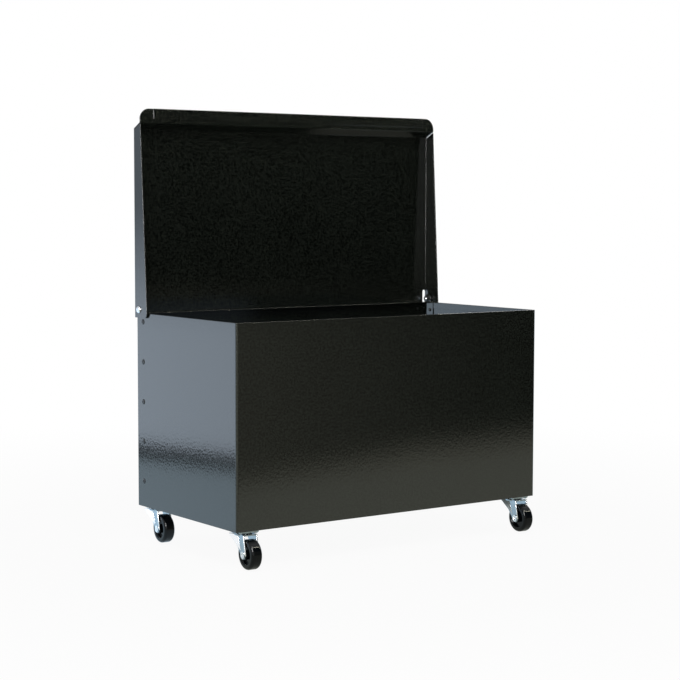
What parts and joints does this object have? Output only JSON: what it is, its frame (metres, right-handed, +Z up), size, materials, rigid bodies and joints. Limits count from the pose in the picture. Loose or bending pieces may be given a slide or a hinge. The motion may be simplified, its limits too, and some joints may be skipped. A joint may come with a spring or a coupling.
{
  "type": "pellet storage bin",
  "caption": "Free-standing sheet-steel bin on four swivel casters, with a wedge-shaped hinged lid, for storing wood pellets beside a stove.",
  "frame": {"origin": "on the floor, below the middle of the whole object with its lid open", "axes": "+Z up, -Y towards the front, +X to the right of someone behind the bin facing forward"},
  "size_m": [0.6542, 0.35, 0.7579],
  "materials": {
    "black_coat": "glossy fine-textured powder coat",
    "rivet_black": "satin",
    "zinc": "bright zinc plate",
    "chrome": "polished",
    "nylon": "matt",
    "wheel_black": "glossy"
  },
  "bodies": {
    "bin": {"body_shell": "black_coat", "back_panel": "black_coat", "bottom_pan": "black_coat", "rivets_left": "rivet_black", "pivot_bolt_left": "chrome", "pivot_washer_left": "nylon", "pivot_nut_left": "chrome", "rivets_right": "rivet_black", "pivot_bolt_right": "chrome", "pivot_washer_right": "nylon", "pivot_nut_right": "chrome", "front_left_caster_plate": "zinc", "front_left_caster_bearing": "chrome", "front_left_caster_kingpin": "zinc", "front_left_caster_bolts": "zinc", "front_left_caster_nuts": "zinc", "front_right_caster_plate": "zinc", "front_right_caster_bearing": "chrome", "front_right_caster_kingpin": "zinc", "front_right_caster_bolts": "zinc", "front_right_caster_nuts": "zinc", "rear_left_caster_plate": "zinc", "rear_left_caster_bearing": "chrome", "rear_left_caster_kingpin": "zinc", "rear_left_caster_bolts": "zinc", "rear_left_caster_nuts": "zinc", "rear_right_caster_plate": "zinc", "rear_right_caster_bearing": "chrome", "rear_right_caster_kingpin": "zinc", "rear_right_caster_bolts": "zinc", "rear_right_caster_nuts": "zinc"},
    "lid": {"lid": "black_coat"},
    "front_left_swivel": {"front_left_caster_fork": "zinc", "front_left_caster_axle": "chrome"},
    "front_left_roller": {"front_left_caster_wheel": "wheel_black"},
    "front_right_swivel": {"front_right_caster_fork": "zinc", "front_right_caster_axle": "chrome"},
    "front_right_roller": {"front_right_caster_wheel": "wheel_black"},
    "rear_left_swivel": {"rear_left_caster_fork": "zinc", "rear_left_caster_axle": "chrome"},
    "rear_left_roller": {"rear_left_caster_wheel": "wheel_black"},
    "rear_right_swivel": {"rear_right_caster_fork": "zinc", "rear_right_caster_axle": "chrome"},
    "rear_right_roller": {"rear_right_caster_wheel": "wheel_black"}
  },
  "joints": [
    {"name": "lid_hinge", "type": "hinge", "parent": "bin", "child": "lid", "pos_m": [0, 0.16133, 0.409], "axis": [1, 0, 0], "range_deg": [0, 93.28]},
    {"name": "front_left_swivel_turn", "type": "hinge", "parent": "bin", "child": "front_left_swivel", "pos_m": [-0.292, -0.12967, 0.058], "axis": [0, 0, 1], "continuous": true},
    {"name": "front_left_wheel_spin", "type": "hinge", "parent": "front_left_swivel", "child": "front_left_roller", "pos_m": [-0.29305, -0.14964, 0.025], "axis": [0.9986, -0.0523, 0], "continuous": true},
    {"name": "front_right_swivel_turn", "type": "hinge", "parent": "bin", "child": "front_right_swivel", "pos_m": [0.292, -0.12967, 0.058], "axis": [0, 0, 1], "continuous": true},
    {"name": "front_right_wheel_spin", "type": "hinge", "parent": "front_right_swivel", "child": "front_right_roller", "pos_m": [0.29095, -0.14964, 0.025], "axis": [0.9986, -0.0523, 0], "continuous": true},
    {"name": "rear_left_swivel_turn", "type": "hinge", "parent": "bin", "child": "rear_left_swivel", "pos_m": [-0.292, 0.15133, 0.058], "axis": [0, 0, 1], "continuous": true},
    {"name": "rear_left_wheel_spin", "type": "hinge", "parent": "rear_left_swivel", "child": "rear_left_roller", "pos_m": [-0.29305, 0.13136, 0.025], "axis": [0.9986, -0.0523, 0], "continuous": true},
    {"name": "rear_right_swivel_turn", "type": "hinge", "parent": "bin", "child": "rear_right_swivel", "pos_m": [0.292, 0.15133, 0.058], "axis": [0, 0, 1], "continuous": true},
    {"name": "rear_right_wheel_spin", "type": "hinge", "parent": "rear_right_swivel", "child": "rear_right_roller", "pos_m": [0.29095, 0.13136, 0.025], "axis": [0.9986, -0.0523, 0], "continuous": true}
  ]
}
